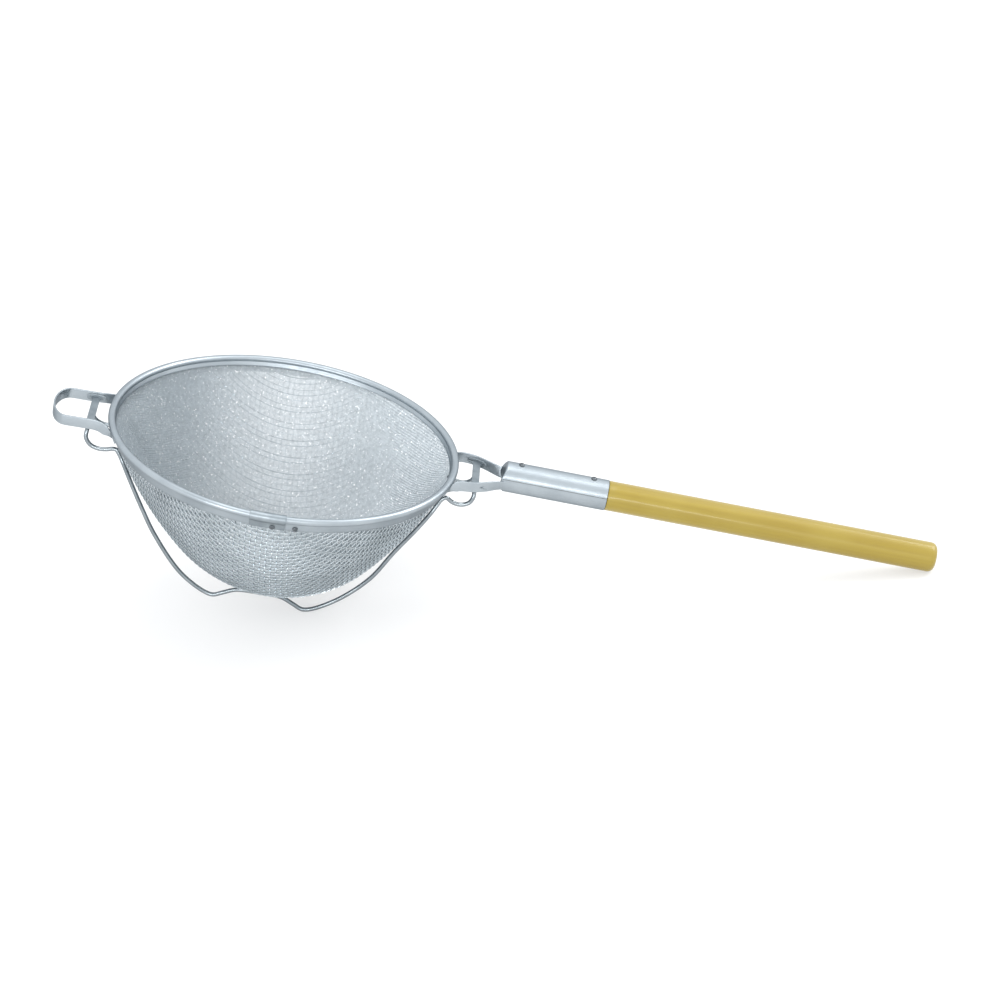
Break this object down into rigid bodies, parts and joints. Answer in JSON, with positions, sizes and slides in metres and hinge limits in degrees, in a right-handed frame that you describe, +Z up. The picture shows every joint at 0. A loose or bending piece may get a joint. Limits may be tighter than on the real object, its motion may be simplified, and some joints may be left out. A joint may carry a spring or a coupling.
{
  "type": "double sieve strainer",
  "caption": "Long-handled strainer with a fine and a coarse woven-wire bowl in one rolled rim, a front hook, a wire cradle with feet and a wooden handle.",
  "frame": {"origin": "middle of the bounding box's bottom face, on the surface that the strainer rests on", "axes": "+Z up; +X from the hook along the handle, which slopes down to its end on the surface; the middle plane is XZ"},
  "size_m": [0.6448, 0.2608, 0.1734],
  "materials": {
    "tinned_sheet": "tinned sheet, satin, slightly mottled",
    "tinned_wire": "drawn and tinned wire, bright satin",
    "coarse_cloth": "woven tinned wire, coarse",
    "fine_cloth": "woven tinned wire, fine",
    "handle_wood": "turned hardwood under mustard-yellow lacquer, glossy"
  },
  "bodies": {
    "root": {"rim_wire": "tinned_wire", "rim_band": "tinned_sheet", "outer_sieve": "coarse_cloth", "inner_sieve": "fine_cloth", "splice_sleeve": "tinned_sheet", "splice_rivet_left": "tinned_wire", "splice_rivet_right": "tinned_wire", "socket_rivet": "tinned_wire", "front_hook": "tinned_sheet", "hook_tie": "tinned_sheet", "support_wire": "tinned_wire", "handle_socket": "tinned_sheet", "socket_tie": "tinned_sheet", "handle": "handle_wood", "socket_nail_front": "tinned_wire", "socket_nail_rear": "tinned_wire"}
  },
  "joints": []
}
